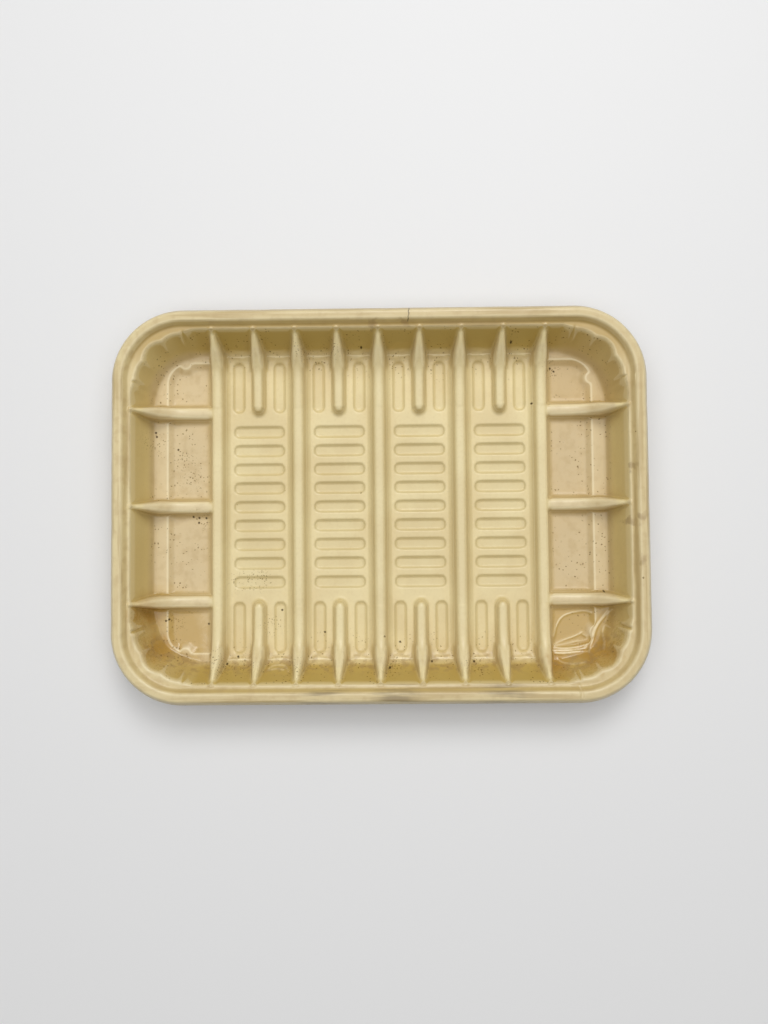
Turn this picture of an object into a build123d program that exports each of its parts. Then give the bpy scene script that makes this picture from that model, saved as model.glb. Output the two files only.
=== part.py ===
from build123d import *
import math
import os

# A food packaging tray, thermoformed from one sheet of plastic: a ribbed well hung from a
# raised rim. Millimetres, X along the length, Y across it, Z up. The origin lies on the
# plane that the tray rests on, under its middle.

# Overall form
length = 190.0
width = 140.0
height = 18.6
corner_radius = 25.5
sheet = 0.5
overrun = 3.0

# Rim, from its free edge inwards
lip_drop = 3.6
lip_flare = 1.9
crown_width = 2.5
rim_bevel = 0.6
rim_slope_run = 1.6
ledge_drop = 2.4
ledge_width = 1.0

# Walls of the well, from the ledge down to the border of the floor
end_wall_run = 3.7
side_wall_run = 5.6

# Three flutes in each corner of the well, between cusps that are measured inwards from where
# the two ledge lines would meet. The outer cusps step in from the walls, and the flutes grow
# shallower towards the foot of the wall
cusp_reach = 18.0
cusp_far = 11.1
cusp_near = 4.4
cusp_step = 1.7
cusp_step_run = 0.6
outer_flute_bulge = 0.9
middle_flute_bulge = 2.1
foot_corner_share = 0.8
foot_bulge_share = 0.3
flute_sides = 6
flatness = 1e-6

# Raised border round the floor, wide beside the end pads and narrow beside the bays
border_rise = 1.5
border_slope_run = 2.4
pad_border_end = 6.0
pad_border_side = 3.8
pad_corner_radius = 8.0
bay_border_side = 2.1
bay_slope_run = 0.7

# Stacking lugs on the inner edge of the border, in the corner pads
lug_radius = 2.0
lug_end_setback = 7.0
lug_side_setback = 6.6

# Ribs: full ribs cross the floor, short ribs stop inside each bay, cross ribs part the ends
bay_count = 4
rib_pitch = 29.67
full_rib_rise = 4.0
full_crest_half = 1.9
full_foot_half = 3.9
short_rib_rise = 3.2
short_crest_half = 1.5
short_foot_half = 2.7
short_rib_length = 29.3
cross_rib_rise = 3.3
cross_crest_half = 1.4
cross_foot_half = 3.4
cross_rib_pitch = 34.6
crest_bevel = 0.6
bevel_limit_share = 0.8
end_sides = 5

# Gussets: each rib climbs the wall to a narrow tip just under the ledge
gusset_run = 13.3
tip_hollow_half = 0.35
tip_drop = 0.4

# Drain grooves pressed into the floor of the bays
groove_width = 4.6
groove_depth = 0.9
groove_lean = 0.85
row_gap = 1.4
row_pitch = 6.95
pair_length = 19.1
pair_rib_gap = 1.1
pair_wall_gap = 0.7

# Levels
ledge_z = height - ledge_drop
floor_z = groove_depth + sheet
border_z = floor_z + border_rise
wall_rise = ledge_z - border_z

# Plan sizes that follow from the rim and the walls
rim_inner = lip_flare + crown_width + rim_slope_run
well_half_x = length / 2 - rim_inner - ledge_width
well_half_y = width / 2 - rim_inner - ledge_width
foot_half_x = well_half_x - end_wall_run
foot_half_y = well_half_y - side_wall_run
pad_half_x = foot_half_x - pad_border_end
pad_half_y = foot_half_y - pad_border_side
bay_half_y = foot_half_y - bay_border_side
outer_rib_x = bay_count * rib_pitch / 2
tip_half = tip_hollow_half + sheet
rib_places = [place * rib_pitch - outer_rib_x for place in range(bay_count + 1)]
bay_centres = [place + rib_pitch / 2 for place in rib_places[:-1]]


def level_growth(run, rise, skin):
    """How far a slope's plan grows when its skin is laid on and its levels drop by that skin."""
    return skin * (math.hypot(run, rise) - run) / rise


def plan_growth(run, rise, skin):
    """How far a slope's plan grows at a level that stays where it is."""
    return skin * math.hypot(run, rise) / rise


def facets(corners):
    """Four corners as they are if they lie in one plane, or else as two triangles."""
    first, second, third, fourth = [Vector(*corner) for corner in corners]
    if abs((second - first).cross(third - first).dot(fourth - first)) < flatness:
        return [corners]
    return [corners[:3], corners[2:] + corners[:1]]


def faceted(rings):
    """A solid with flat sides through rings of points, capped at both ends."""
    outlines = [rings[0], rings[-1]]
    for lower, upper in zip(rings, rings[1:]):
        for here in range(len(lower)):
            outlines += facets([lower[here - 1], lower[here], upper[here], upper[here - 1]])
    return Part(Solid(Shell([Face(Wire.make_polygon(outline)) for outline in outlines])).wrapped)


def cusps(half_x, half_y, share):
    """Corners of one fluted corner, from the end wall over its cusps to the side wall."""
    reach, far, near = share * cusp_reach, share * cusp_far, share * cusp_near
    step, wall = share * cusp_step, share * (cusp_reach + cusp_step_run)
    return [(half_x, half_y - wall), (half_x - step, half_y - reach), (half_x - near, half_y - far),
            (half_x - far, half_y - near), (half_x - reach, half_y - step), (half_x - wall, half_y)]


def all_round(quarter, level):
    """Ring of points at one level, from the points of one corner mirrored to all four."""
    ring = []
    for x_sign, y_sign, way in ((1, 1, 1), (-1, 1, -1), (-1, -1, 1), (1, -1, -1)):
        ring += [(x_sign * x, y_sign * y, level) for x, y in quarter[::way]]
    return ring


def fluted(corners, bulges):
    """Points round one corner, bulging outwards between its cusps."""
    points = corners[:1]
    for (x, y), (end_x, end_y), bulge in zip(corners, corners[1:], bulges):
        run_x, run_y = end_x - x, end_y - y
        sides = flute_sides if bulge else 1
        for share in [step / sides for step in range(1, sides + 1)]:
            swell = bulge * 4 * share * (1 - share) / math.hypot(run_x, run_y)
            points.append((x + share * run_x + swell * run_y, y + share * run_y - swell * run_x))
    return points


def walls(skin):
    """The well down to the border: four leaning walls with fluted corners."""
    foot_x = foot_half_x + level_growth(end_wall_run, wall_rise, skin)
    foot_y = foot_half_y + level_growth(side_wall_run, wall_rise, skin)
    top_x = well_half_x + plan_growth(end_wall_run, wall_rise, skin)
    top_y = well_half_y + plan_growth(side_wall_run, wall_rise, skin)
    bulges = (0, outer_flute_bulge, middle_flute_bulge, outer_flute_bulge, 0)
    foot_bulges = [foot_bulge_share * bulge for bulge in bulges]
    foot = fluted(cusps(foot_x, foot_y, foot_corner_share), foot_bulges)
    top = fluted(cusps(top_x, top_y, 1), bulges)
    return faceted([all_round(foot, border_z - skin), all_round(top, ledge_z)])


def sunken_floor(half_x, half_y, radius, run, skin):
    """Floor area sunk below the border, with sloping sides."""
    grow = level_growth(run, border_rise, skin)
    edge = RectangleRounded(2 * (half_x + grow), 2 * (half_y + grow), radius + grow)
    foot = RectangleRounded(2 * (half_x - run + grow), 2 * (half_y - run + grow), radius - run + grow)
    return loft([Pos(0, 0, floor_z - skin) * foot, Pos(0, 0, border_z - skin) * edge], ruled=True)


def basin(skin):
    """The well before its ribs and grooves."""
    pads = sunken_floor(pad_half_x, pad_half_y, pad_corner_radius, border_slope_run, skin)
    bay_corner = bay_slope_run + bay_border_side
    bays = sunken_floor(outer_rib_x + bay_corner, bay_half_y, bay_corner, bay_slope_run, skin)
    return walls(skin) + pads + bays


def rib_levels(rise, crest_half, foot_half, skin):
    """Heights and half widths of a rib's section, from under the floor to its bevelled crest."""
    lean = (foot_half - crest_half) / rise
    thinned = foot_half - skin * math.hypot(1, lean)
    low = -sheet - overrun
    top = rise - skin
    bevel = min(crest_bevel - skin * (2 - math.sqrt(2)), bevel_limit_share * (thinned - lean * top))
    return [(low, thinned - lean * low), (top - bevel, thinned - lean * (top - bevel)),
            (top, thinned - lean * top - bevel)]


def ridge(stations, skin):
    """A ridge along Y, through stations of distance and of the section's rise, crest and foot."""
    rings = []
    for along, rise, crest_half, foot_half in stations:
        levels = rib_levels(rise, crest_half, foot_half, skin)
        right = [(half, along, floor_z + up) for up, half in levels]
        left = [(-half, along, floor_z + up) for up, half in reversed(levels)]
        rings.append(right + left)
    return faceted(rings)


def gusset(wall, rise, crest_half, skin):
    """The thin fin by which a rib climbs the wall to the ledge."""
    tip_rise = ledge_z - floor_z - tip_drop
    fin_foot = tip_half + (crest_half - tip_half) * tip_rise / (tip_rise - rise)
    foot = (wall - gusset_run, rise, crest_half, fin_foot)
    tip = (wall, tip_rise, tip_half, fin_foot)
    past = (wall + overrun, tip_rise, tip_half, fin_foot)
    return ridge([foot, tip, past], skin)


def full_rib(skin):
    section = (full_rib_rise, full_crest_half, full_foot_half)
    reach = well_half_y + overrun
    run = ridge([(-reach, *section), (reach, *section)], skin)
    fin = gusset(well_half_y, full_rib_rise, full_crest_half, skin)
    return run + fin + Rot(0, 0, 180) * fin


def cross_rib(skin):
    section = (cross_rib_rise, cross_crest_half, cross_foot_half)
    run = ridge([(outer_rib_x, *section), (well_half_x + overrun, *section)], skin)
    return Rot(0, 0, -90) * (run + gusset(well_half_x, cross_rib_rise, cross_crest_half, skin))


def round_end(half):
    """Points of a half round end that faces down Y, from its right side to its left."""
    turns = [step * math.pi / end_sides for step in range(end_sides + 1)]
    return [(half * math.cos(turn), -half * math.sin(turn)) for turn in turns]


def short_rib(skin):
    """A rib that ends inside the bay in a round nose."""
    nose_y = well_half_y - short_rib_length + short_foot_half
    back_y = well_half_y + overrun
    rings = []
    for up, half in rib_levels(short_rib_rise, short_crest_half, short_foot_half, skin):
        ring = [(x, y + nose_y, floor_z + up) for x, y in round_end(half)]
        rings.append(ring + [(-half, back_y, floor_z + up), (half, back_y, floor_z + up)])
    return faceted(rings) + gusset(well_half_y, short_rib_rise, short_crest_half, skin)


def lug(skin):
    """A small round boss on the edge of the border, as high and as sloping as the border."""
    crest = lug_radius - level_growth(border_slope_run, border_rise, skin)
    low = floor_z - sheet - overrun
    spread = border_slope_run * (border_z - skin - low) / border_rise
    rings = []
    for level, radius in ((low, crest + spread), (border_z - skin, crest)):
        near = round_end(radius)[1:]
        rings.append([(x, y, level) for x, y in near] + [(-x, -y, level) for x, y in near])
    return faceted(rings)


def raised(skin):
    """Everything that stands up from the floor of the well."""
    shapes = [Pos(place, 0, 0) * full_rib(skin) for place in rib_places]
    for centre in bay_centres:
        shapes.append(Pos(centre, 0, 0) * short_rib(skin))
        shapes.append(Pos(centre, 0, 0) * Rot(0, 0, 180) * short_rib(skin))
    for place in (-1, 0, 1):
        shapes.append(Pos(0, place * cross_rib_pitch, 0) * cross_rib(skin))
        shapes.append(Pos(0, place * cross_rib_pitch, 0) * Rot(0, 0, 180) * cross_rib(skin))
    for side in (-1, 1):
        shapes.append(Pos(-pad_half_x + lug_side_setback, side * pad_half_y, 0) * lug(skin))
        shapes.append(Pos(pad_half_x, side * (pad_half_y - lug_end_setback), 0) * lug(skin))
    return shapes


def groove(span, skin):
    """A round-ended groove along Y, sunk into the floor."""
    grow = level_growth(groove_lean, groove_depth, skin)
    rings = []
    for level, inset in ((sheet - skin, groove_lean - grow), (floor_z - skin, -grow)):
        near = [(x, y - (span - groove_width) / 2) for x, y in round_end(groove_width / 2 - inset)]
        rings.append([(x, y, level) for x, y in near] + [(-x, -y, level) for x, y in near])
    return faceted(rings)


def sunken(skin):
    """All grooves: rows across each bay, and a pair either side of each short rib."""
    row_span = rib_pitch - 2 * (full_foot_half + row_gap)
    pair_y = bay_half_y - bay_slope_run - pair_wall_gap - pair_length / 2
    pair_x = rib_pitch / 2 - full_foot_half - pair_rib_gap - groove_width / 2
    rows_each_way = int((pair_y - (pair_length + groove_width) / 2) / row_pitch)
    row = Rot(0, 0, 90) * groove(row_span, skin)
    upright = groove(pair_length, skin)
    shapes = []
    for centre in bay_centres:
        for place in range(-rows_each_way, rows_each_way + 1):
            shapes.append(Pos(centre, place * row_pitch, 0) * row)
        for across in (-pair_x, pair_x):
            for side in (-pair_y, pair_y):
                shapes.append(Pos(centre + across, side, 0) * upright)
    return shapes


def well(skin):
    """The space over the floor, ribs and grooves: bare, or with the sheet's skin laid on."""
    return basin(skin) - raised(skin) + sunken(skin)


def rim():
    """The raised rim, one bent strip of sheet swept round the tray."""
    crown_inner = lip_flare + crown_width
    lip_back = rim_bevel * lip_flare / lip_drop
    slope_back = rim_bevel * rim_slope_run / ledge_drop
    bend = Polyline(
        (0, -lip_drop), (lip_flare - lip_back, -rim_bevel), (lip_flare + rim_bevel, 0),
        (crown_inner - rim_bevel, 0), (crown_inner + slope_back, -rim_bevel),
        (rim_inner, -ledge_drop), (rim_inner + ledge_width, -ledge_drop))
    strip = make_face(offset(bend, sheet, kind=Kind.INTERSECTION, side=Side.RIGHT))
    path = Pos(0, 0, height) * RectangleRounded(length, width, corner_radius)
    start = path.wires()[0]
    plane = Plane(origin=start @ 0, x_dir=Vector(0, 0, 1).cross(start % 0), z_dir=start % 0)
    return sweep(plane * strip, start)


def corner_shelves():
    """Flat ledge between the rim and the fluted tops of the walls."""
    outline = RectangleRounded(2 * well_half_x, 2 * well_half_y, corner_radius - rim_inner - ledge_width)
    return extrude(Pos(0, 0, ledge_z) * outline, -sheet) - walls(0)


tray = well(sheet) - well(0) + rim() + corner_shelves()

os.makedirs("parts", exist_ok=True)
export_step(tray, "parts/tray.step")
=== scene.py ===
import math
import bpy
import numpy as np
from mathutils import Matrix
from types import SimpleNamespace


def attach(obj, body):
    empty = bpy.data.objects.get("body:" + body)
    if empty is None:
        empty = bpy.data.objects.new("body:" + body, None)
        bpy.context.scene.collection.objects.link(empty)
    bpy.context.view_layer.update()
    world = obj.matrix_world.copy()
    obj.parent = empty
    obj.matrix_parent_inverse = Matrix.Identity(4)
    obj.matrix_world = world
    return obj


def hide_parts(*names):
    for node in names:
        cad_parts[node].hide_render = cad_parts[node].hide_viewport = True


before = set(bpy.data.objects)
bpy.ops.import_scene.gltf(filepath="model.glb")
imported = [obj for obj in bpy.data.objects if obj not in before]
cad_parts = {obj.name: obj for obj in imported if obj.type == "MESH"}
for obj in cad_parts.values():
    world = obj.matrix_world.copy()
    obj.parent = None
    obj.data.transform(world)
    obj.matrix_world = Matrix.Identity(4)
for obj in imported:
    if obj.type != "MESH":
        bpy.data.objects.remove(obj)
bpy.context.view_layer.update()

MM = 0.001

# Sizes of the formed sheet in millimetres, the same as in the part's source
length, width, height = 190.0, 140.0, 18.6
corner_radius = 25.5
sheet = 0.5
lip_drop, lip_flare, crown_width = 3.6, 1.9, 2.5
rim_slope_run, ledge_drop, ledge_width = 1.6, 2.4, 1.0
end_wall_run, side_wall_run = 3.7, 5.6
cusp_reach, cusp_far, cusp_near = 18.0, 11.1, 4.4
cusp_step, cusp_step_run = 1.7, 0.6
outer_flute_bulge, middle_flute_bulge = 0.9, 2.1
foot_corner_share, foot_bulge_share = 0.8, 0.3
border_rise, border_slope_run = 1.5, 2.4
pad_border_end, pad_border_side, pad_corner_radius = 6.0, 3.8, 8.0
bay_border_side, bay_slope_run = 2.1, 0.7
lug_radius = 2.0
lug_end_setback, lug_side_setback = 7.0, 6.6
bay_count, rib_pitch = 4, 29.67
full_rib_rise, full_foot_half = 4.0, 3.9
short_rib_rise, short_foot_half, short_rib_length = 3.2, 2.7, 29.3
cross_rib_rise, cross_foot_half, cross_rib_pitch = 3.3, 3.4, 34.6
gusset_run, tip_half, tip_drop = 13.3, 0.85, 0.4
groove_width, groove_depth, groove_lean = 4.6, 0.9, 0.85
row_gap, row_pitch = 1.4, 6.95
pair_length, pair_rib_gap, pair_wall_gap = 19.1, 1.1, 0.7

# Softness that the sheet takes on as it is drawn over its mould
bend_radius = 0.3
foot_radius, foot_fade, foot_share, foot_end = 1.3, 3.0, 0.45, 1.5
edge_radius, edge_start, edge_fade = 0.6, 50.0, 4.0
rib_spread_shares = (0, 0.2, 0.36, 0.45, 0.52, 0.59, 0.7, 0.83, 1)
rib_level_shares = (1, 0.99, 0.95, 0.84, 0.62, 0.41, 0.22, 0.09, 0)
foot_sweep, cross_sweep = 0.4, 0.9
gusset_steps = (0, 4, 8, 13.3)
gusset_halves = (0.7, 1.35, 1.9, 2.0)
gusset_crown, gusset_flank = 0.8, 7
gusset_blend = 4.0
lip_curve = 1.5
knob_radius, knob_rise = 1.0, 0.9
raster_step = 0.1
raster_margin = 2.0

# Unevenness: ripples by the ends of the grooves, creases in one corner pad, on the wall and in the rim
ripple_places = (55.5, 57.1, 58.6)
ripple_half, ripple_width, ripple_rise = 3.2, 0.35, 0.35
ripple_wanders = ((0.25, 0.9, 0), (0.2, 0.37, 2))
rim_wave = 0.12
rim_wave_turns = ((0.13, 1, 0.17, 2), (0.41, 0, 0.37, 1))
crease_width, crease_rise = 0.4, 0.5
crease_lines = [
    [(84.0, -38.4), (81.4, -41.1), (78.7, -44.3), (77.5, -47.4), (76.7, -50.6), (75.3, -53.8)],
    [(82.6, -38.8), (79.8, -42.2), (77.6, -45.4), (76.6, -48.8)],
    [(82.7, -44.8), (81.4, -43.8), (80.4, -46.6), (80.8, -49.7), (79.9, -52.4)],
    [(63.1, -48.2), (64.1, -44.2), (66.0, -41.0), (70.1, -39.4), (75.1, -39.0), (76.9, -39.7)],
    [(63.1, -51.2), (67.2, -49.4), (71.3, -48.1), (73.6, -46.7)],
    [(63.3, -51.6), (67.6, -51.0), (71.7, -50.1), (74.9, -49.7), (75.4, -48.6), (73.9, -47.6)],
    [(63.0, -52.3), (67.6, -52.6), (72.1, -52.0), (75.3, -51.1)],
    [(63.2, -54.2), (67.1, -54.4), (71.2, -53.8), (74.8, -53.6)],
    [(63.9, -56.0), (65.2, -57.3), (68.0, -57.8), (71.1, -57.4), (73.4, -56.9)],
    [(-41.0, -59.4), (-40.0, -58.0), (-37.5, -57.5), (-34.8, -57.8), (-33.2, -59.4)],
    [(-39.8, -58.9), (-37.2, -58.5), (-35.0, -59.0)],
    [(69.0, -63.8), (69.7, -66.2), (69.2, -69.2)]]

# Levels and plan sizes that follow
ledge_z = height - ledge_drop
floor_z = groove_depth + sheet
border_z = floor_z + border_rise
wall_rise = ledge_z - border_z
crown_inner = lip_flare + crown_width
rim_inner = crown_inner + rim_slope_run
well_half_x = length / 2 - rim_inner - ledge_width
well_half_y = width / 2 - rim_inner - ledge_width
foot_half_x = well_half_x - end_wall_run
foot_half_y = well_half_y - side_wall_run
pad_half_x = foot_half_x - pad_border_end
pad_half_y = foot_half_y - pad_border_side
bay_half_y = foot_half_y - bay_border_side
bay_corner = bay_slope_run + bay_border_side
outer_rib_x = bay_count * rib_pitch / 2
rib_places = [place * rib_pitch - outer_rib_x for place in range(bay_count + 1)]
bay_centres = [place + rib_pitch / 2 for place in rib_places[:-1]]
row_half = rib_pitch / 2 - full_foot_half - row_gap
pair_x = rib_pitch / 2 - full_foot_half - pair_rib_gap - groove_width / 2
pair_y = bay_half_y - bay_slope_run - pair_wall_gap - pair_length / 2
rows_each_way = int((pair_y - (pair_length + groove_width) / 2) / row_pitch)


def edge_distance(x, y, half_x, half_y, radius):
    """How far points lie inside a rounded rectangle, negative outside it."""
    over_x = np.abs(x) - half_x + radius
    over_y = np.abs(y) - half_y + radius
    outside = np.hypot(np.maximum(over_x, 0), np.maximum(over_y, 0))
    return radius - outside - np.minimum(np.maximum(over_x, over_y), 0)


def cusps(half_x, half_y, share):
    """Corners of one fluted corner, from the end wall over its cusps to the side wall."""
    reach, far, near = share * cusp_reach, share * cusp_far, share * cusp_near
    step, wall = share * cusp_step, share * (cusp_reach + cusp_step_run)
    corners = [(half_x, half_y - wall), (half_x - step, half_y - reach), (half_x - near, half_y - far),
               (half_x - far, half_y - near), (half_x - reach, half_y - step), (half_x - wall, half_y)]
    return [np.array(corner) for corner in corners]


def wall_share(x, y):
    """How far up the wall points lie, from zero at its foot to one at the ledge."""
    x, y = np.abs(x), np.abs(y)
    up = np.maximum((x - foot_half_x) / end_wall_run, (y - foot_half_y) / side_wall_run)
    foot = cusps(foot_half_x, foot_half_y, foot_corner_share)
    top = cusps(well_half_x, well_half_y, 1)
    plain = np.full(x.shape, -1.0)
    bulged = np.full(x.shape, np.nan)
    for first, bulge in enumerate((0, outer_flute_bulge, middle_flute_bulge, outer_flute_bulge, 0)):
        along = top[first + 1] - top[first]
        top_span = np.hypot(*along)
        along /= top_span
        out = np.array((along[1], -along[0]))
        foot_span = foot_corner_share * top_span
        step = top[first] - foot[first]
        past_x, past_y = x - foot[first][0], y - foot[first][1]
        away = past_x * out[0] + past_y * out[1]
        beside = past_x * along[0] + past_y * along[1]
        rise = away / step.dot(out)
        plain = np.maximum(plain, rise) if bulge else plain
        for settle in range(8):
            across = (beside - rise * step.dot(along)) / (foot_span + rise * (top_span - foot_span))
            swell = 4 * bulge * np.clip(across * (1 - across), 0, None)
            rise = (away - foot_bulge_share * swell) / (step.dot(out) + (1 - foot_bulge_share) * swell)
        bulged = np.where((across >= 0) & (across <= 1), rise, bulged)
    return np.maximum(up, np.where(np.isnan(bulged), plain, bulged))


def sunk(x, y, half_x, half_y, radius, run):
    """Level of a floor area that is sunk below the border, with sloping sides."""
    down = np.clip(edge_distance(x, y, half_x, half_y, radius) / run, 0, 1)
    return border_z - border_rise * down


def basin(x, y):
    """Level of the well before its ribs and grooves, up to the ledge."""
    pads = sunk(x, y, pad_half_x, pad_half_y, pad_corner_radius, border_slope_run)
    bays = sunk(x, y, outer_rib_x + bay_corner, bay_half_y, bay_corner, bay_slope_run)
    climb = np.clip(wall_share(x, y), 0, 1)
    return np.where(climb > 0, border_z + climb * wall_rise, np.minimum(pads, bays))


def ridge(off, rise, foot):
    """Level of a ridge with a rounded crest and a swept foot at some distance off its middle line."""
    spread = np.array(rib_spread_shares) * foot
    return floor_z + rise * np.interp(off, spread, rib_level_shares)


def gusset(off, along, wall, rise):
    """Level of the rounded fin by which a rib climbs the wall to the ledge."""
    tip_rise = ledge_z - floor_z - tip_drop
    past_foot = along - wall + gusset_run
    climb = (past_foot + np.hypot(past_foot, gusset_blend)) / 2 / gusset_run
    crest = rise + np.minimum(climb, 1) * (tip_rise - rise)
    half = np.interp(wall - along, gusset_steps, gusset_halves)
    crest = crest - gusset_crown * (off / half) ** 2 - gusset_flank * np.maximum(off - half, 0)
    return np.where(past_foot > -gusset_run, floor_z + crest, 0)


def ribbed(x, y, level):
    """Ribs, gussets and lugs raised out of the floor."""
    side = np.abs(y)
    for place in rib_places:
        near = np.abs(x - place) < full_foot_half + sheet
        off = np.abs(x[near] - place)
        rib = ridge(off, full_rib_rise, full_foot_half + foot_sweep)
        fin = gusset(off, side[near], well_half_y, full_rib_rise)
        level[near] = np.maximum(level[near], np.maximum(rib, fin))
    nose = well_half_y - short_rib_length + short_foot_half
    for place in bay_centres:
        near = (np.abs(x - place) < short_foot_half + sheet) & (side > nose - short_foot_half - sheet)
        off = np.abs(x[near] - place)
        round_off = np.hypot(off, np.minimum(side[near] - nose, 0))
        rib = ridge(round_off, short_rib_rise, short_foot_half + foot_sweep)
        fin = gusset(off, side[near], well_half_y, short_rib_rise)
        level[near] = np.maximum(level[near], np.maximum(rib, fin))
    for place in (-cross_rib_pitch, 0, cross_rib_pitch):
        near = (np.abs(y - place) < cross_foot_half + cross_sweep) & (np.abs(x) > outer_rib_x)
        off = np.abs(y[near] - place)
        rib = ridge(off, cross_rib_rise, cross_foot_half + cross_sweep)
        fin = gusset(off, np.abs(x[near]), well_half_x, cross_rib_rise)
        level[near] = np.maximum(level[near], np.maximum(rib, fin))
    for lug_x, lug_y in ((-pad_half_x + lug_side_setback, pad_half_y),
                         (pad_half_x, pad_half_y - lug_end_setback)):
        off = np.hypot(x - lug_x, side - lug_y)
        near = off < lug_radius + border_slope_run
        slope = border_z - border_rise * (off[near] - lug_radius) / border_slope_run
        level[near] = np.maximum(level[near], np.minimum(slope, border_z))
    return level


def groove(off):
    """Level of a groove at some distance off its middle line."""
    return floor_z - groove_depth * np.clip((groove_width / 2 - off) / groove_lean, 0, 1)


def grooved(x, y, level):
    """Drain grooves pressed into the floor of the bays."""
    side = np.abs(y)
    row_axis = row_half - groove_width / 2
    pair_axis = (pair_length - groove_width) / 2
    for centre in bay_centres:
        here = np.abs(x - centre) < row_half + sheet
        along = np.maximum(np.abs(x[here] - centre) - row_axis, 0)
        row = np.clip(np.rint(y[here] / row_pitch), -rows_each_way, rows_each_way)
        off = np.hypot(along, y[here] - row * row_pitch)
        upright = np.hypot(np.abs(x[here] - centre) - pair_x,
                           np.maximum(np.abs(side[here] - pair_y) - pair_axis, 0))
        off = np.minimum(off, np.abs(upright))
        level[here] = np.where(off < groove_width / 2, groove(off), level[here])
    return level


def rim_level(inside):
    """Level of the rim at some distance inside its free edge."""
    outer = height - lip_drop * np.clip(1 - inside / lip_flare, 0, None) ** lip_curve
    inner = height - (inside - crown_inner) * ledge_drop / rim_slope_run
    return np.where(inside < crown_inner, outer, np.clip(inner, ledge_z, height))


def knobbed(x, y, level):
    """A small round knob where each gusset's tip meets the ledge."""
    side, end = np.abs(y), np.abs(x)
    for place in rib_places + bay_centres:
        off = np.hypot(x - place, side - well_half_y) / knob_radius
        level = np.maximum(level, np.where(off < 1, ledge_z + knob_rise * (1 - 2 * off ** 2), 0))
    for place in (-cross_rib_pitch, 0, cross_rib_pitch):
        off = np.hypot(y - place, end - well_half_x) / knob_radius
        level = np.maximum(level, np.where(off < 1, ledge_z + knob_rise * (1 - 2 * off ** 2), 0))
    return level


def rounded_line(points):
    """Points of a bent line with its corners cut twice."""
    points = np.array(points)
    for cut in range(2):
        quarters = [0.75 * points[:-1] + 0.25 * points[1:], 0.25 * points[:-1] + 0.75 * points[1:]]
        inner = np.stack(quarters, axis=1).reshape(-1, 2)
        points = np.concatenate((points[:1], inner, points[-1:]))
    return points


def creases(x, y):
    """How far the sheet stands up along bent crease lines, from zero to one."""
    folds = np.zeros(x.shape)
    for line in crease_lines:
        points = rounded_line(line)
        low, high = points.min(axis=0) - 2 * crease_width, points.max(axis=0) + 2 * crease_width
        near = (x > low[0]) & (x < high[0]) & (y > low[1]) & (y < high[1])
        for start, end in zip(points, points[1:]):
            run = end - start
            past_x, past_y = x[near] - start[0], y[near] - start[1]
            share = np.clip((past_x * run[0] + past_y * run[1]) / run.dot(run), 0, 1)
            away = np.hypot(past_x - share * run[0], past_y - share * run[1])
            folds[near] = np.maximum(folds[near], np.exp(-(away / crease_width) ** 2))
    return folds


def rippled(x, y, level):
    """Low ripples across the sheet between the ends of the upright grooves and the side walls."""
    in_bay = np.abs((x + outer_rib_x) % rib_pitch - rib_pitch / 2)
    share = np.clip(ripple_half - np.abs(in_bay - pair_x), 0, 1) * (np.abs(x) < outer_rib_x)
    wander = sum(reach * np.sin(rate * x + start) for reach, rate, start in ripple_wanders)
    for place in ripple_places:
        off = np.abs(y) - place - wander
        level = level + ripple_rise * share * np.exp(-(off / ripple_width) ** 2)
    return level


def waves(x, y):
    """Slow waves over the plan, two of them added."""
    return sum(np.sin(rate_x * x + start_x) * np.sin(rate_y * y + start_y)
               for rate_x, start_x, rate_y, start_y in rim_wave_turns)


def softened(level, radius):
    """The sheet's levels with every bend rounded."""
    reach = int(3 * radius / raster_step)
    weights = np.exp(-0.5 * (np.arange(-reach, reach + 1) * raster_step / radius) ** 2)
    weights /= weights.sum()
    for turn in range(2):
        padded = np.pad(level, ((reach, reach), (0, 0)), mode="edge")
        rows = len(level)
        level = sum(weight * padded[start:start + rows] for start, weight in enumerate(weights)).T
    return level


def underside(level):
    """Levels of the sheet's back, its thickness away from the front in every direction."""
    reach = int(sheet / raster_step)
    padded = np.pad(level, reach, mode="edge")
    rows, columns = level.shape
    back = level - sheet
    for down in range(-reach, reach + 1):
        for across in range(-reach, reach + 1):
            depth = sheet ** 2 - (down ** 2 + across ** 2) * raster_step ** 2
            if depth < 0:
                continue
            moved = padded[reach + down:reach + down + rows, reach + across:reach + across + columns]
            np.minimum(back, moved - math.sqrt(depth), out=back)
    return back


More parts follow.
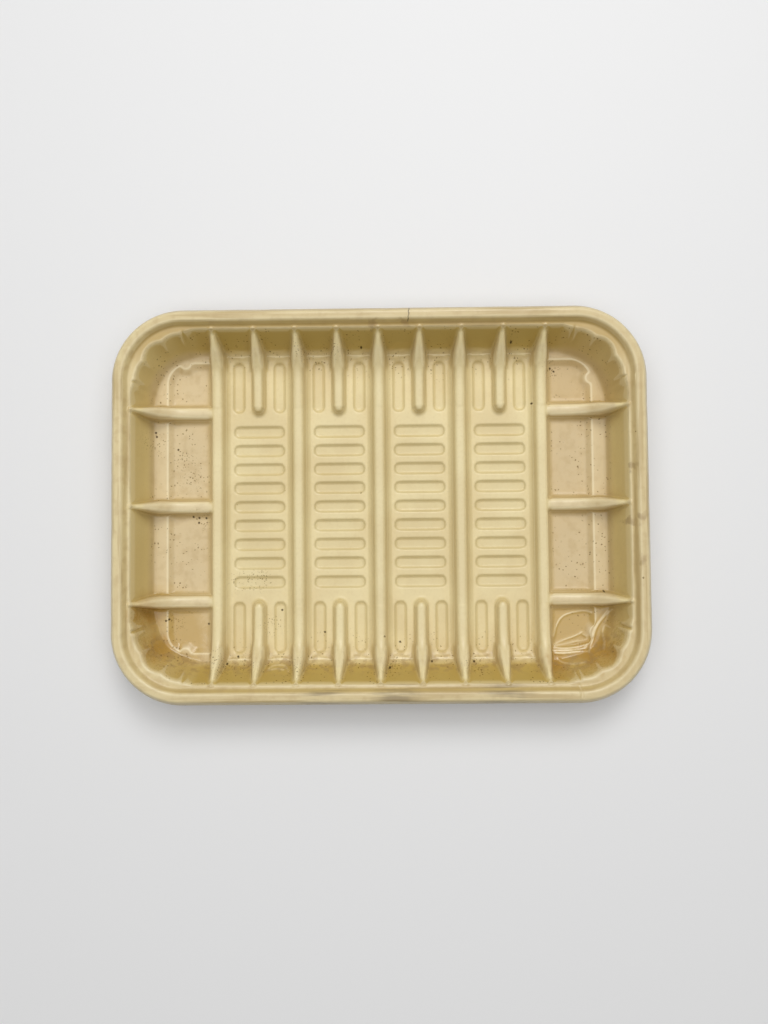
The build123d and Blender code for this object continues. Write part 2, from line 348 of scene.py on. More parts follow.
def mould():
    """Rasters over the plan: the sheet's front and back, its edges, what is raised in it and its creases."""
    across = np.arange(-length / 2 - raster_margin, length / 2 + raster_margin, raster_step)
    up = np.arange(-width / 2 - raster_margin, width / 2 + raster_margin, raster_step)
    x, y = np.meshgrid(across, up)
    floor = basin(x, y)
    fade = np.clip((ledge_z - foot_fade - floor) / foot_fade, 0, 1)
    past_foot = wall_share(x, y) / foot_share
    by_wall = np.clip(1 + past_foot, 0, 1) * np.clip(foot_end - past_foot, 0, 1)
    fade = fade * np.where(np.abs(x) < outer_rib_x, 1, by_wall)
    floor = rippled(x, y, floor + fade * (softened(floor, foot_radius) - floor))
    level = grooved(x, y, ribbed(x, y, floor.copy()))
    raised = np.clip(level - floor, 0, 1)
    inside = edge_distance(x, y, length / 2, width / 2, corner_radius)
    rim = rim_level(inside) - rim_wave * np.clip(waves(x, y), 0, None)
    level = np.where(inside < rim_inner + ledge_width, rim, np.minimum(level, ledge_z))
    folds = creases(x, y)
    fold_rise = np.where(inside < rim_inner + ledge_width, -crease_rise, crease_rise)
    front = softened(knobbed(x, y, level) + fold_rise * folds, bend_radius)
    outside_bays = np.maximum(np.abs(x) - outer_rib_x, np.abs(y) - edge_start)
    edges = (front - softened(front, edge_radius)) * np.clip(outside_bays / edge_fade, 0, 1)
    return front, underside(front), edges, raised, folds


def read_level(raster, x, y):
    """Levels between the raster's points."""
    column = (x + length / 2 + raster_margin) / raster_step
    row = (y + width / 2 + raster_margin) / raster_step
    left, low = column.astype(int), row.astype(int)
    right_share, high_share = column - left, row - low
    lower = raster[low, left] * (1 - right_share) + raster[low, left + 1] * right_share
    upper = raster[low + 1, left] * (1 - right_share) + raster[low + 1, left + 1] * right_share
    return lower * (1 - high_share) + upper * high_share


# Lines of the sheet's grid: three at every bend, and fillers where the bends lie far apart
bend_share = 1.3
least_gap = 0.24
rim_gap, floor_gap = 0.5, 1.3

# Thinning: marks of points that aren't sharp and of the back, and how many degrees still count as flat
calm_mark, back_mark = 0.03, -1.0
flat_angle, back_angle = 0.7, 8.0


def bends(*places):
    """Places just before, on and just after each bend."""
    return [place + way * bend_share * bend_radius for place in places for way in (-1, 0, 1)]


def both_ways(centres, offsets):
    """Offsets to either side of each centre."""
    return [centre + way * offset for centre in centres for offset in offsets for way in (-1, 1)]


def tidy_lines(lines, low, high, widest):
    """Sorted lines between two limits, with none too close together and none too far apart."""
    kept = [low]
    for line in sorted(line for line in lines if low + least_gap < line < high - least_gap) + [high]:
        gap = line - kept[-1]
        if gap < least_gap:
            continue
        parts = math.ceil(gap / widest)
        kept += [kept[-1] + gap * (part + 1) / parts for part in range(parts)]
    return kept


def rim_lines():
    """Distances inside the free edge at which lines run round the rim, the walls and the border."""
    half_y = width / 2
    lines = bends(lip_flare, crown_inner, rim_inner, rim_inner + ledge_width)
    lines += [lip_flare / 2, lip_flare + crown_width / 2, crown_inner + rim_slope_run / 2]
    lines += bends(length / 2 - foot_half_x, half_y - foot_half_y, half_y - bay_half_y)
    lines += bends(half_y - bay_half_y + bay_slope_run, half_y - pad_half_y, length / 2 - pad_half_x)
    lines += bends(half_y - pad_half_y + border_slope_run, half_y - well_half_y + gusset_run)
    lines += bends(half_y - pair_y - pair_length / 2, half_y - pair_y - pair_length / 2 + groove_lean)
    lines += [half_y - pair_y - pair_length / 2 + groove_width / 2]
    return tidy_lines(lines, 0, corner_radius, rim_gap)


def rib_offsets(foot_half):
    """Lines to one side of a rib's middle, at every step of its swept section."""
    steps = list(np.array(rib_spread_shares[1:]) * (foot_half + foot_sweep))
    return [tip_half] + steps


def lines_across():
    """Lines at right angles to the tray's length."""
    groove_edges = [pair_x - groove_width / 2, pair_x + groove_width / 2]
    groove_bed_shade = [groove_edges[0] + groove_lean, groove_edges[1] - groove_lean]
    bay = [0, pair_x] + rib_offsets(short_foot_half) + bends(*groove_edges, *groove_bed_shade)
    lines = both_ways(bay_centres, bay)
    lines += both_ways(rib_places, [0] + rib_offsets(full_foot_half))
    return lines + list(np.arange(outer_rib_x + full_foot_half, length / 2 - corner_radius, rim_gap))


def lines_along():
    """Lines along the tray's length."""
    rows = [row * row_pitch for row in range(-rows_each_way, rows_each_way + 1)]
    lines = both_ways(rows, [0, row_pitch / 2] + bends(groove_width / 2, groove_width / 2 - groove_lean))
    cross_ribs = (-cross_rib_pitch, 0, cross_rib_pitch)
    lines += both_ways(cross_ribs, [0] + rib_offsets(cross_foot_half))
    nose = well_half_y - short_rib_length + short_foot_half
    lines += both_ways([0], [nose] + [nose - off for off in rib_offsets(short_foot_half)])
    pair_end = pair_y - pair_length / 2
    lines += both_ways([0], bends(pair_end, pair_end + groove_lean) + [pair_end + groove_width / 2])
    return lines + list(np.arange(corner_radius - width / 2, -cross_rib_pitch - cross_foot_half, rim_gap))


def grid_lines(inner_lines, span):
    """All lines one way: those of the rim at both ends, and the inner ones between."""
    rim = np.array(rim_lines())
    inner = tidy_lines(inner_lines, corner_radius - span / 2, span / 2 - corner_radius, floor_gap)
    return np.concatenate((rim - span / 2, inner[1:-1], span / 2 - rim[::-1]))


def rounded_plan(x, y):
    """Moves the square corners of the grid onto quarter circles."""
    middle_x, middle_y = length / 2 - corner_radius, width / 2 - corner_radius
    over_x, over_y = np.abs(x) - middle_x, np.abs(y) - middle_y
    corner = (over_x > 0) & (over_y > 0)
    reach = np.maximum(over_x, over_y)[corner]
    turn = np.pi / 4 * np.minimum(over_x, over_y)[corner] / reach
    turn = np.where((over_x > over_y)[corner], turn, np.pi / 2 - turn)
    x[corner] = np.sign(x[corner]) * (middle_x + reach * np.cos(turn))
    y[corner] = np.sign(y[corner]) * (middle_y + reach * np.sin(turn))
    return x, y


def apply_modifier(piece, kind, **settings):
    """Adds one modifier with its settings and applies it."""
    modifier = piece.modifiers.new(kind.title(), kind)
    for name, value in settings.items():
        setattr(modifier, name, value)
    bpy.ops.object.select_all(action="DESELECT")
    piece.select_set(True)
    bpy.context.view_layer.objects.active = piece
    bpy.ops.object.modifier_apply(modifier=modifier.name)


def face_range(piece, name):
    """Least and greatest of a kept value at the corners of each face."""
    values = np.empty(len(piece.data.vertices), dtype=np.float32)
    piece.data.attributes[name].data.foreach_get("value", values)
    corners = np.empty(len(piece.data.loops), dtype=np.int32)
    piece.data.loops.foreach_get("vertex_index", corners)
    starts = np.empty(len(piece.data.polygons), dtype=np.int32)
    piece.data.polygons.foreach_get("loop_start", starts)
    return np.minimum.reduceat(values[corners], starts), np.maximum.reduceat(values[corners], starts)


def dissolve_faces(piece, chosen, angle):
    """Dissolves what is nearly flat among the chosen faces."""
    bpy.ops.object.mode_set(mode="EDIT")
    bpy.ops.mesh.select_mode(type="FACE")
    bpy.ops.mesh.select_all(action="DESELECT")
    bpy.ops.object.mode_set(mode="OBJECT")
    piece.data.polygons.foreach_set("select", chosen)
    bpy.ops.object.mode_set(mode="EDIT")
    bpy.ops.mesh.dissolve_limited(angle_limit=math.radians(angle))
    bpy.ops.object.mode_set(mode="OBJECT")


def flat_grid():
    """A flat grid with its lines drawn to the bends, and where its points lie in the plan."""
    columns = grid_lines(lines_across(), length)
    rows = grid_lines(lines_along(), width)
    bpy.ops.object.select_all(action="DESELECT")
    bpy.ops.mesh.primitive_grid_add(x_subdivisions=len(columns) - 1, y_subdivisions=len(rows) - 1, size=1)
    grid = bpy.context.object
    places = np.empty(3 * len(grid.data.vertices))
    grid.data.vertices.foreach_get("co", places)
    places = places.reshape(-1, 3)
    column = np.rint((places[:, 0] + 0.5) * (len(columns) - 1)).astype(int)
    row = np.rint((places[:, 1] + 0.5) * (len(rows) - 1)).astype(int)
    return grid, *rounded_plan(columns[column], rows[row])


def keep_values(piece, x, y, rasters):
    """Keeps what the mould says with the points of the front and the back, and which parts are sharp."""
    marks = {name: np.tile(read_level(raster, x, y), 2) for name, raster in rasters.items()}
    marks["sharp"] = np.maximum(np.abs(marks["edges"]), marks["folds"])
    marks["sharp"][len(x):] = back_mark
    for name, values in marks.items():
        piece.data.attributes.new(name, "FLOAT", "POINT").data.foreach_set("value", values)


def formed_tray():
    """A flat grid that is given a thickness, drawn over the mould and thinned where it is nearly flat."""
    tray, x, y = flat_grid()
    tray.name = "formed_tray"
    apply_modifier(tray, "SOLIDIFY", thickness=sheet * MM, offset=-1)
    front, back, edges, raised, folds = mould()
    levels = np.concatenate((read_level(front, x, y), read_level(back, x, y)))
    drawn = np.column_stack((np.tile(x, 2), np.tile(y, 2), levels)) * MM
    tray.data.vertices.foreach_set("co", drawn.ravel())
    tray.data.update()
    keep_values(tray, x, y, {"edges": edges, "raised": raised, "folds": folds})
    least, greatest_mark = face_range(tray, "sharp")
    dissolve_faces(tray, (least >= 0) & (greatest_mark < calm_mark), flat_angle)
    dissolve_faces(tray, face_range(tray, "sharp")[1] < 0, back_angle)
    bpy.ops.object.shade_smooth()
    apply_modifier(tray, "WEIGHTED_NORMAL", weight=100)
    return tray


def plain_material(name, color, roughness):
    """A plain finish of one colour."""
    material = bpy.data.materials.new(name)
    material.use_nodes = True
    shader = material.node_tree.nodes["Principled BSDF"]
    shader.inputs["Base Color"].default_value = (*color, 1)
    shader.inputs["Roughness"].default_value = roughness
    return material


def feed(tree, socket, value):
    """Links a socket to another node, or sets its value."""
    if isinstance(value, bpy.types.NodeSocket):
        tree.links.new(value, socket)
    else:
        socket.default_value = value


def sums(tree, operation, *values):
    """One sum on up to three values."""
    node = tree.nodes.new("ShaderNodeMath")
    node.operation = operation
    for socket, value in zip(node.inputs, values):
        feed(tree, socket, value)
    return node.outputs[0]


def vector_sums(tree, operation, *vectors):
    """One sum on up to three vectors, as a vector or as a length."""
    node = tree.nodes.new("ShaderNodeVectorMath")
    node.operation = operation
    for socket, vector in zip(node.inputs, vectors):
        feed(tree, socket, vector)
    return node.outputs["Value" if operation in ("LENGTH", "DISTANCE") else "Vector"]


def product(tree, first, *others):
    """Several masks or shares multiplied together."""
    for other in others:
        first = sums(tree, "MULTIPLY", first, other)
    return first


def greatest(tree, first, *others):
    """The greatest of several masks."""
    for other in others:
        first = sums(tree, "MAXIMUM", first, other)
    return first


def without(tree, mask, share=1.0):
    """What is left of the whole when a share of a mask is taken away."""
    return sums(tree, "MULTIPLY_ADD", mask, -share, 1.0)


def between(tree, value, start, end):
    """A soft step from zero at the start to one at the end."""
    node = tree.nodes.new("ShaderNodeMapRange")
    node.interpolation_type = "SMOOTHSTEP"
    feed(tree, node.inputs["Value"], value)
    node.inputs["From Min"].default_value = start
    node.inputs["From Max"].default_value = end
    return node.outputs[0]


def clouds(tree, place, scale, detail=2.0):
    """The node of a cloudy noise, with its scale in waves to the millimetre."""
    node = tree.nodes.new("ShaderNodeTexNoise")
    feed(tree, node.inputs["Vector"], place)
    node.inputs["Scale"].default_value = scale
    node.inputs["Detail"].default_value = detail
    return node


def noise(tree, place, scale, detail=2.0):
    """Cloudy noise as one value."""
    return clouds(tree, place, scale, detail).outputs[0]


def split(tree, vector):
    """The three parts of a vector."""
    node = tree.nodes.new("ShaderNodeSeparateXYZ")
    feed(tree, node.inputs[0], vector)
    return list(node.outputs)


def mixed(tree, share, first, second):
    """One colour laid over another."""
    node = tree.nodes.new("ShaderNodeMix")
    node.data_type = "RGBA"
    feed(tree, node.inputs[0], share)
    for socket, color in ((node.inputs[6], first), (node.inputs[7], second)):
        feed(tree, socket, color if isinstance(color, bpy.types.NodeSocket) else (*color, 1))
    return node.outputs[2]


def laid(tree, under, name, mask):
    """One of the named tones laid where its mask says, over what is under it."""
    color, share = tones[name]
    return mixed(tree, product(tree, mask, share), under, color)


def kept_value(tree, name):
    """A value that is kept with the sheet's points."""
    node = tree.nodes.new("ShaderNodeAttribute")
    node.attribute_name = name
    return node.outputs["Fac"]


def specks(tree, place, cell, radius, share):
    """Small round specks strewn at random, some of the cells holding one."""
    node = tree.nodes.new("ShaderNodeTexVoronoi")
    feed(tree, node.inputs["Vector"], place)
    node.inputs["Scale"].default_value = 1 / cell
    dot = between(tree, node.outputs["Distance"], radius / cell, 0.5 * radius / cell)
    picked = tree.nodes.new("ShaderNodeSeparateColor")
    feed(tree, picked.inputs[0], node.outputs["Color"])
    return product(tree, dot, sums(tree, "LESS_THAN", picked.outputs[0], share))


def spots(tree, place, centres, radius, softness):
    """Spots of one size at given places."""
    mask = 0.0
    for centre in centres:
        away = vector_sums(tree, "DISTANCE", place, (*centre, 0))
        mask = greatest(tree, mask, between(tree, away, radius, radius * (1 - softness)))
    return mask


# Tones of the sheet, and those laid over it with the share that covers what is under them, painted shade and
# painted highlights among them
cream, deep_cream = (0.76, 0.64, 0.35), (0.70, 0.57, 0.30)
tones = {
    "pads": ((0.60, 0.46, 0.26), 0.75),
    "right_pads": ((0.50, 0.36, 0.18), 0.25),
    "wall": ((0.70, 0.53, 0.15), 0.4),
    "near_wall": ((0.52, 0.38, 0.16), 0.25),
    "rim": ((0.60, 0.47, 0.24), 1.0),
    "crest_highlight": ((0.88, 0.78, 0.48), 0.2),
    "groove_side_shade": ((0.42, 0.33, 0.13), 0.26),
    "groove_bed_shade": ((0.42, 0.33, 0.13), 0.1),
    "grain": ((0.60, 0.46, 0.22), 0.15),
    "steep": ((0.48, 0.33, 0.07), 1.0),
    "hollow_shade": ((0.46, 0.32, 0.10), 0.42),
    "mottle": ((0.48, 0.34, 0.15), 0.4),
    "ledge": ((0.46, 0.31, 0.09), 0.8),
    "lip_shade": ((0.40, 0.29, 0.10), 0.5),
    "film": ((0.49, 0.33, 0.10), 0.9),
    "haze": ((0.49, 0.33, 0.12), 0.4),
    "stain": ((0.43, 0.24, 0.04), 0.85),
    "whitened_and_highlit_edges": ((0.92, 0.82, 0.54), 0.6),
    "concave_edge_shade": ((0.42, 0.29, 0.10), 0.25),
    "folds": ((0.88, 0.76, 0.48), 0.3),
    "dirt": ((0.34, 0.22, 0.09), 0.5),
    "smudge": ((0.30, 0.19, 0.08), 0.5),
    "worn": ((0.46, 0.33, 0.14), 0.6),
    "scuff": ((0.26, 0.20, 0.11), 0.7),
    "fine_specks": ((0.14, 0.08, 0.02), 0.75),
    "dots": ((0.05, 0.03, 0.01), 0.9),
    "crack": ((0.10, 0.07, 0.03), 0.8)}

# Dirt and wear, as places on the tray in millimetres
speck_places = [(-82.6, 27.8), (-82.3, 26.3), (-74.7, 21.6), (-68.9, -3.4), (-66.8, -3.8), (-67.0, -5.6),
                (-64.2, -3.9), (-77.7, -41.0), (-78.8, -41.5), (-63.3, -42.8), (-52.4, -54.8), (-56.1, -57.2),
                (-36.4, -38.0), (-20.6, -46.2), (7.0, -50.0), (3.2, -58.6), (18.5, -56.8), (33.8, -56.9),
                (64.8, 49.3), (63.4, 50.4), (56.3, 37.3), (81.2, -31.9), (-6.3, 58.2), (48.4, 59.1)]
grit_places = [(-51.5, -27.3), (-47.5, -27.4), (-43.5, -27.2), (-72.0, 17.0), (-70.0, 11.0), (-82.0, 24.0),
               (-57.0, -57.5), (-48.5, -56.5), (-39.8, -43.5), (-31.0, -57.5), (64.0, 50.0), (33.0, -57.0),
               (-17.0, 57.0), (-27.5, 56.5), (-66.0, -4.5), (-76.0, -42.0), (-60.0, -55.0), (4.5, -57.0)]
smudge_places = [(89.2, 12.4), (88.0, -6.8), (91.6, -4.8), (91.3, -20.7), (9.7, 64.5), (-1.6, 63.9)]
stain_places = [(75.4, -54.0), (79.5, -52.5), (-83.8, -38.2), (-80.0, -51.0), (63.2, -57.0)]
scuff_places = [(-20.4, -68.0), (4.9, -68.2), (43.1, -68.5)]
film_places = [(73.3, -48.2), (-80.0, -47.0)]
haze_places = [(76.0, 46.0)]
film_radius, haze_radius, stain_radius = 20.0, 22.0, 7.0
smudge_radius, scuff_radius, grit_radius, dot_radius = 2.2, 12.0, 6.0, 0.55
wander_reach = 6.0
crack_x, crack_lean, crack_start, crack_wander = 5.3, 0.085, 64.3, 0.9

# Plan of the well's foot as the finish sees it, the corners and the reach of shade in hollows
foot_round = 18.0
corner_x, corner_y, corner_blend = 68.0, 43.0, 10.0
shade_reach = 5.0
far_up = 1000.0


def ring_distance(tree, folded, half_x, half_y, radius):
    """Distance out from the middle of a plan's rounded corners, which is its radius all round its edge."""
    past = vector_sums(tree, "SUBTRACT", folded, (half_x - radius, half_y - radius, far_up))
    return vector_sums(tree, "LENGTH", vector_sums(tree, "MAXIMUM", past, (0, 0, 0)))


def sheet_places(tree):
    """Where a point of the sheet lies, in millimetres, and which way it faces."""
    source = tree.nodes.new("ShaderNodeTexCoord")
    scale = tree.nodes.new("ShaderNodeVectorMath")
    scale.operation = "SCALE"
    feed(tree, scale.inputs[0], source.outputs["Object"])
    scale.inputs["Scale"].default_value = 1 / MM
    place = scale.outputs["Vector"]
    shift = vector_sums(tree, "SUBTRACT", clouds(tree, place, 0.35).outputs["Color"], (0.5, 0.5, 0.5))
    shift = vector_sums(tree, "MULTIPLY", shift, (wander_reach, wander_reach, 0))
    folded = vector_sums(tree, "ABSOLUTE", place)
    x, y, z = split(tree, place)
    half_x, half_y = split(tree, folded)[:2]
    lean = split(tree, source.outputs["Normal"])
    return SimpleNamespace(
        place=place, folded=folded, x=x, y=y, z=z, half_x=half_x, half_y=half_y,
        lean_x=lean[0], lean_z=lean[2],
        flat=vector_sums(tree, "MULTIPLY", place, (1, 1, 0)),
        bent=vector_sums(tree, "MULTIPLY_ADD", place, (1, 1, 0), shift))


def sheet_zones(tree, at):
    """Masks of the tray's regions, from zero to one, among them the ambient shade of hollows for painted
    shade.
    """
    ring = ring_distance(tree, at.folded, foot_half_x, foot_half_y, foot_round)
    below = between(tree, at.z, ledge_z - 0.1, ledge_z - 1)
    wall = product(tree, between(tree, ring, foot_round - 1, foot_round + 1), below)
    ends = between(tree, at.half_x, outer_rib_x + 1, outer_rib_x + 5)
    raised = kept_value(tree, "raised")
    crest_z = floor_z + full_rib_rise
    shade = tree.nodes.new("ShaderNodeAmbientOcclusion")
    shade.inputs["Distance"].default_value = shade_reach * MM
    return SimpleNamespace(
        ring=ring, below=below, wall=wall, raised=raised,
        rim=between(tree, at.z, ledge_z - 1, ledge_z),
        pads=product(tree, below, ends, without(tree, wall)),
        near_wall=product(tree, sums(tree, "SUBTRACT", below, wall),
                          between(tree, ring, foot_round - 10, foot_round)),
        corners=product(tree, between(tree, at.half_x, corner_x, corner_x + corner_blend),
                        between(tree, at.half_y, corner_y, corner_y + corner_blend)),
        gussets=product(tree, raised, between(tree, at.z, crest_z + 0.3, crest_z + 2)),
        flush=without(tree, raised), hollow_shade=without(tree, shade.outputs["AO"]))


def sheet_tones(tree, at, zones, grain):
    """Cream tones that change with the region and the slope, painted shade and painted highlights among them.
    """
    tone = mixed(tree, between(tree, noise(tree, at.place, 0.05, 3), 0.35, 0.65), cream, deep_cream)
    tone = laid(tree, tone, "pads", zones.pads)
    tone = laid(tree, tone, "right_pads", product(tree, zones.pads, between(tree, at.x, 0, 60)))
    # Walls a warmer, deeper tan: partly the thin drawn sheet's own tone, partly painted shade and warm bounce
    # light
    tone = laid(tree, tone, "wall", zones.wall)
    tone = laid(tree, tone, "near_wall", zones.near_wall)
    rim_share = sums(tree, "MULTIPLY_ADD", between(tree, at.x, -90, -50), 0.4, 0.25)
    tone = laid(tree, tone, "rim", product(tree, zones.rim, rim_share))
    # Painted highlight: the tops of the ribs are made paler, standing in for the light falling on them
    crest_highlight = product(tree, between(tree, at.z, floor_z + 2.4, floor_z + 3.4), zones.raised)
    tone = laid(tree, tone, "crest_highlight", crest_highlight)
    # Painted shade on the sloping sides of the grooves, and a little in their beds
    groove_side_shade = product(tree, between(tree, at.z, sheet + 0.25, sheet + 0.45),
                           between(tree, at.z, floor_z - 0.03, floor_z - 0.2))
    tone = laid(tree, tone, "groove_side_shade", groove_side_shade)
    tone = laid(tree, tone, "groove_bed_shade", between(tree, at.z, sheet + 0.3, sheet + 0.1))
    tone = laid(tree, tone, "grain", between(tree, grain, 0.45, 0.7))
    # Steep faces darker: partly the deeper tone of the thinly drawn walls, partly painted shade; less on the
    # end walls, the gussets and in the corners
    steep = between(tree, sums(tree, "ABSOLUTE", at.lean_z), 0.88, 0.48)
    depth = sums(tree, "MULTIPLY_ADD", zones.wall, 0.55, 0.35)
    depth = sums(tree, "MULTIPLY_ADD", zones.rim, 0.25, depth)
    depth = product(tree, depth, without(tree, sums(tree, "ABSOLUTE", at.lean_x), 0.88),
                    without(tree, zones.gussets, 0.55), without(tree, zones.corners, 0.3))
    tone = laid(tree, tone, "steep", product(tree, steep, depth))
    # Painted shade in hollows, taken from ambient occlusion
    tone = laid(tree, tone, "hollow_shade", zones.hollow_shade)
    mottle = product(tree, between(tree, noise(tree, at.place, 0.28, 5), 0.45, 0.7),
                     greatest(tree, zones.rim, zones.pads, zones.near_wall))
    tone = laid(tree, tone, "mottle", mottle)
    # Painted shade on the ledge along the top side of the tray
    ledge = product(tree, zones.rim, between(tree, at.z, ledge_z + 0.9, ledge_z + 0.3),
                    between(tree, at.y, 46, 58))
    tone = laid(tree, tone, "ledge", ledge)
    # Painted shade on the outer lip, all round the rim's free edge
    rim_ring = ring_distance(tree, at.folded, length / 2, width / 2, corner_radius)
    return laid(tree, tone, "lip_shade", between(tree, rim_ring, corner_radius - 1.6, corner_radius - 0.3))


def film_mask(tree, at, zones):
    """Where a sticky film has dried in two of the corner pads."""
    film = spots(tree, at.bent, film_places, film_radius, 0.4)
    return product(tree, film, zones.below, zones.flush, without(tree, zones.wall, 0.5))


def stained(tree, at, zones, tone, film):
    """The dried film, the haze in another corner and brown stains."""
    tone = laid(tree, tone, "film", film)
    haze = spots(tree, at.bent, haze_places, haze_radius, 0.6)
    tone = laid(tree, tone, "haze", product(tree, haze, zones.below, zones.flush))
    return laid(tree, tone, "stain", spots(tree, at.bent, stain_places, stain_radius, 0.85))


def edged(tree, at, zones, tone):
    """Pale lines on sharp edges and creases, partly whitening of the stretched sheet and partly painted
    highlight, and darker ones in sharp corners, which are painted shade.
    """
    edges, folds = kept_value(tree, "edges"), kept_value(tree, "folds")
    plain = without(tree, greatest(tree, zones.gussets, zones.wall, zones.rim), 0.5)
    pale = product(tree, between(tree, edges, 0.02, 0.2), between(tree, at.z, floor_z, floor_z + 0.3), plain)
    # Painted highlight along the top edge of the border step
    border_edge = product(tree, between(tree, at.z, border_z - 0.3, border_z - 0.15),
                          between(tree, at.z, border_z + 0.02, border_z - 0.05), 0.8)
    tone = laid(tree, tone, "whitened_and_highlit_edges", greatest(tree, pale, border_edge))
    # Painted shade in sharp concave corners
    tone = laid(tree, tone, "concave_edge_shade", product(tree, between(tree, edges, -0.03, -0.25), plain))
    # Creases paler: partly whitening of the folded sheet, partly painted highlight
    return laid(tree, tone, "folds", between(tree, folds, 0.3, 0.9))


def soiled(tree, at, zones, tone):
    """Dirt along the foot of one side wall, and smudges, streaks and scuffs on the rim."""
    foot = product(tree, between(tree, zones.ring, foot_round - 5, foot_round - 1),
                   between(tree, zones.ring, foot_round + 4, foot_round + 1),
                   zones.flush, between(tree, at.y, -38, -50))
    dirt = product(tree, foot, between(tree, noise(tree, at.place, 0.4, 6), 0.45, 0.62))
    tone = laid(tree, tone, "dirt", dirt)
    tone = laid(tree, tone, "smudge", spots(tree, at.bent, smudge_places, smudge_radius, 0.8))
    long_way = noise(tree, vector_sums(tree, "MULTIPLY", at.place, (0.05, 0.9, 0.9)), 0.6, 4)
    short_way = noise(tree, vector_sums(tree, "MULTIPLY", at.place, (0.9, 0.05, 0.9)), 0.6, 4)
    side_past = sums(tree, "SUBTRACT", at.half_y, well_half_y)
    end_past = sums(tree, "SUBTRACT", at.half_x, well_half_x)
    streaks = tree.nodes.new("ShaderNodeMix")
    feed(tree, streaks.inputs[0], between(tree, sums(tree, "SUBTRACT", side_past, end_past), -3, 3))
    feed(tree, streaks.inputs[2], short_way)
    feed(tree, streaks.inputs[3], long_way)
    worn = product(tree, zones.rim, between(tree, streaks.outputs[0], 0.46, 0.64),
                   without(tree, zones.corners, 0.7))
    tone = laid(tree, tone, "worn", worn)
    scuff = product(tree, spots(tree, at.bent, scuff_places, scuff_radius, 0.9), zones.rim,
                    between(tree, streaks.outputs[0], 0.42, 0.6))
    return laid(tree, tone, "scuff", scuff)


def speck_masks(tree, at, zones):
    """Fine specks, thickest on the end pads and by the walls, and single dark dots."""
    near_edge = greatest(tree, zones.pads, between(tree, at.half_y, 42, 54))
    gathered = product(tree, near_edge, between(tree, noise(tree, at.place, 0.11, 2), 0.42, 0.56),
                       zones.below, zones.flush)
    gritty = product(tree, spots(tree, at.flat, grit_places, grit_radius, 0.9), zones.below)
    ragged = vector_sums(tree, "ADD", at.place, clouds(tree, at.place, 1.5).outputs["Color"])
    fine = greatest(tree, product(tree, specks(tree, ragged, 1.1, 0.34, 0.4), gathered),
                    product(tree, specks(tree, ragged, 0.75, 0.3, 0.55), gritty),
                    specks(tree, ragged, 9.0, 0.5, 0.3))
    return fine, spots(tree, at.flat, speck_places, dot_radius, 0.6)


def crack_mask(tree, at):
    """A thin wavy crack across the rim."""
    off = sums(tree, "SUBTRACT", sums(tree, "MULTIPLY_ADD", at.y, -crack_lean, at.x), crack_x)
    wave = sums(tree, "SUBTRACT", noise(tree, at.place, 0.8), 0.5)
    off = sums(tree, "ABSOLUTE", sums(tree, "MULTIPLY_ADD", wave, crack_wander, off))
    return product(tree, between(tree, off, 0.28, 0.08), between(tree, at.y, crack_start, crack_start + 0.4))


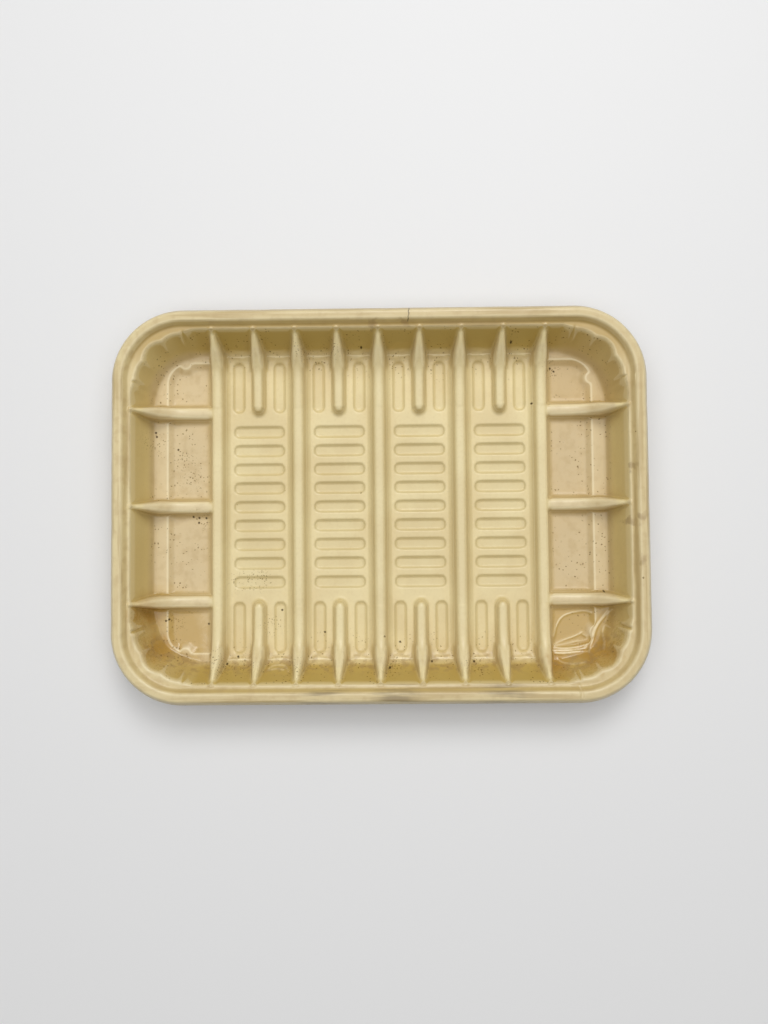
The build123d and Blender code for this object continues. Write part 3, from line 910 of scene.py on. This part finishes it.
def tray_finish():
    """Cream sheet, deeper in tone on steep walls (partly painted shade), with painted shade in hollows and
    painted highlights on crests and edges, and with the dirt and wear of use.
    """
    material = bpy.data.materials.new("cream_sheet")
    material.use_nodes = True
    tree = material.node_tree
    shader = tree.nodes["Principled BSDF"]
    at = sheet_places(tree)
    zones = sheet_zones(tree, at)
    grain = noise(tree, at.place, 0.9, 4)
    film = film_mask(tree, at, zones)
    tone = sheet_tones(tree, at, zones, grain)
    tone = stained(tree, at, zones, tone, film)
    tone = edged(tree, at, zones, tone)
    tone = soiled(tree, at, zones, tone)
    fine, dots = speck_masks(tree, at, zones)
    tone = laid(tree, tone, "fine_specks", fine)
    tone = laid(tree, tone, "dots", dots)
    tone = laid(tree, tone, "crack", crack_mask(tree, at))
    gloss = sums(tree, "MULTIPLY_ADD", greatest(tree, fine, dots), -0.45, 0.5)
    rough = sums(tree, "MULTIPLY_ADD", grain, 0.14, sums(tree, "MULTIPLY_ADD", film, -0.12, 0.27))
    bump = tree.nodes.new("ShaderNodeBump")
    bump.inputs["Strength"].default_value = 0.12
    bump.inputs["Distance"].default_value = 0.1 * MM
    feed(tree, bump.inputs["Height"], noise(tree, at.place, 0.7, 3))
    feed(tree, shader.inputs["Base Color"], tone)
    feed(tree, shader.inputs["Roughness"], rough)
    feed(tree, shader.inputs["Specular IOR Level"], gloss)
    feed(tree, shader.inputs["Normal"], bump.outputs[0])
    return material


tray = formed_tray()
tray.data.materials.append(tray_finish())
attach(tray, "root")
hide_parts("tray")

# Table, light and camera
bpy.ops.object.select_all(action="DESELECT")
bpy.ops.mesh.primitive_plane_add(size=3)
table = bpy.context.object
table.name = "table"
table.data.materials.append(plain_material("white_table", (0.8, 0.8, 0.8), 0.6))


def soft_light(name, place, turn, size, power):
    """A square lamp with a soft shadow."""
    bpy.ops.object.light_add(type="AREA", location=place, rotation=turn)
    lamp = bpy.context.object
    lamp.name = name
    lamp.data.size = size
    lamp.data.energy = power


soft_light("ceiling_light", (0.0, 0.15, 1.0), (math.radians(-8), 0, 0), 1.5, 10.9)
soft_light("window_light", (0.1, 0.62, 0.78), (math.radians(-38), math.radians(6), 0), 0.4, 2.9)
world = bpy.data.worlds.new("room")
world.use_nodes = True
world.node_tree.nodes["Background"].inputs["Color"].default_value = (1, 1, 1, 1)
world.node_tree.nodes["Background"].inputs["Strength"].default_value = 0.13
bpy.context.scene.world = world

camera_place = (5.4337, -14.448, 305.2903)
camera_turns = (-0.0401, -0.0133, 0.0089)
lens_pixels = 823.6
image_height = 1024
bpy.ops.object.camera_add()
camera = bpy.context.object
turn = Matrix.Rotation(camera_turns[0], 3, "X") @ Matrix.Rotation(camera_turns[1], 3, "Y")
turn = turn @ Matrix.Rotation(camera_turns[2], 3, "Z")
camera.matrix_world = Matrix.Translation([part * MM for part in camera_place]) @ turn.transposed().to_4x4()
camera.data.sensor_fit = "VERTICAL"
camera.data.lens = lens_pixels * camera.data.sensor_height / image_height
camera.data.clip_start = 0.01
bpy.context.scene.camera = camera
bpy.context.scene.view_settings.view_transform = "Standard"
